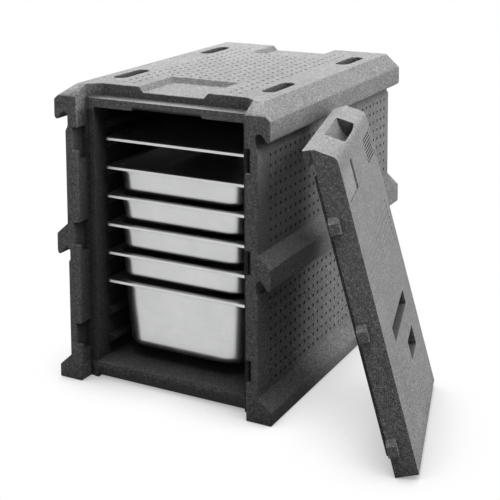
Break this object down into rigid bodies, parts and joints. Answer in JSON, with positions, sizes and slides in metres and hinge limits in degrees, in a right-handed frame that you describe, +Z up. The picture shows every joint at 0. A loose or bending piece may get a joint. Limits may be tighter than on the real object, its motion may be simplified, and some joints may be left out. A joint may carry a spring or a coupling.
{
  "type": "insulated food carrier",
  "caption": "Front-loading insulated food carrier in grey bead foam, loaded with stainless gastronorm pans that slide out on moulded rails, its lift-off door leaning against one side.",
  "frame": {"origin": "centre of the carrier's underside, on the floor", "axes": "+Z up, -Y towards the open front, +X to the right seen from the front"},
  "size_m": [0.7856, 0.7493, 0.6],
  "materials": {
    "foam": "matte bead foam with a grainy moulded surface",
    "foam_door": "matte bead foam with a grainy moulded surface",
    "steel": "satin stainless sheet"
  },
  "bodies": {
    "carrier": {"carrier_body": "foam"},
    "tray_shallow": {"tray_shallow": "steel"},
    "pan_a": {"pan_a": "steel"},
    "pan_b": {"pan_b": "steel"},
    "pan_c": {"pan_c": "steel"},
    "pan_d": {"pan_d": "steel"},
    "pan_deep": {"pan_deep": "steel"},
    "door": {"door": "foam_door"}
  },
  "joints": [
    {"name": "tray_shallow_slide", "type": "slide", "parent": "carrier", "child": "tray_shallow", "axis": [0, -1, 0], "range_m": [0, 0.48]},
    {"name": "pan_a_slide", "type": "slide", "parent": "carrier", "child": "pan_a", "axis": [0, -1, 0], "range_m": [0, 0.48]},
    {"name": "pan_b_slide", "type": "slide", "parent": "carrier", "child": "pan_b", "axis": [0, -1, 0], "range_m": [0, 0.48]},
    {"name": "pan_c_slide", "type": "slide", "parent": "carrier", "child": "pan_c", "axis": [0, -1, 0], "range_m": [0, 0.48]},
    {"name": "pan_d_slide", "type": "slide", "parent": "carrier", "child": "pan_d", "axis": [0, -1, 0], "range_m": [0, 0.48]},
    {"name": "pan_deep_slide", "type": "slide", "parent": "carrier", "child": "pan_deep", "axis": [0, -1, 0], "range_m": [0, 0.48]},
    {"name": "door_carry_away", "type": "slide", "parent": "carrier", "child": "door", "axis": [0.9655, 0.2605, 0], "range_m": [0, 0.3]}
  ]
}
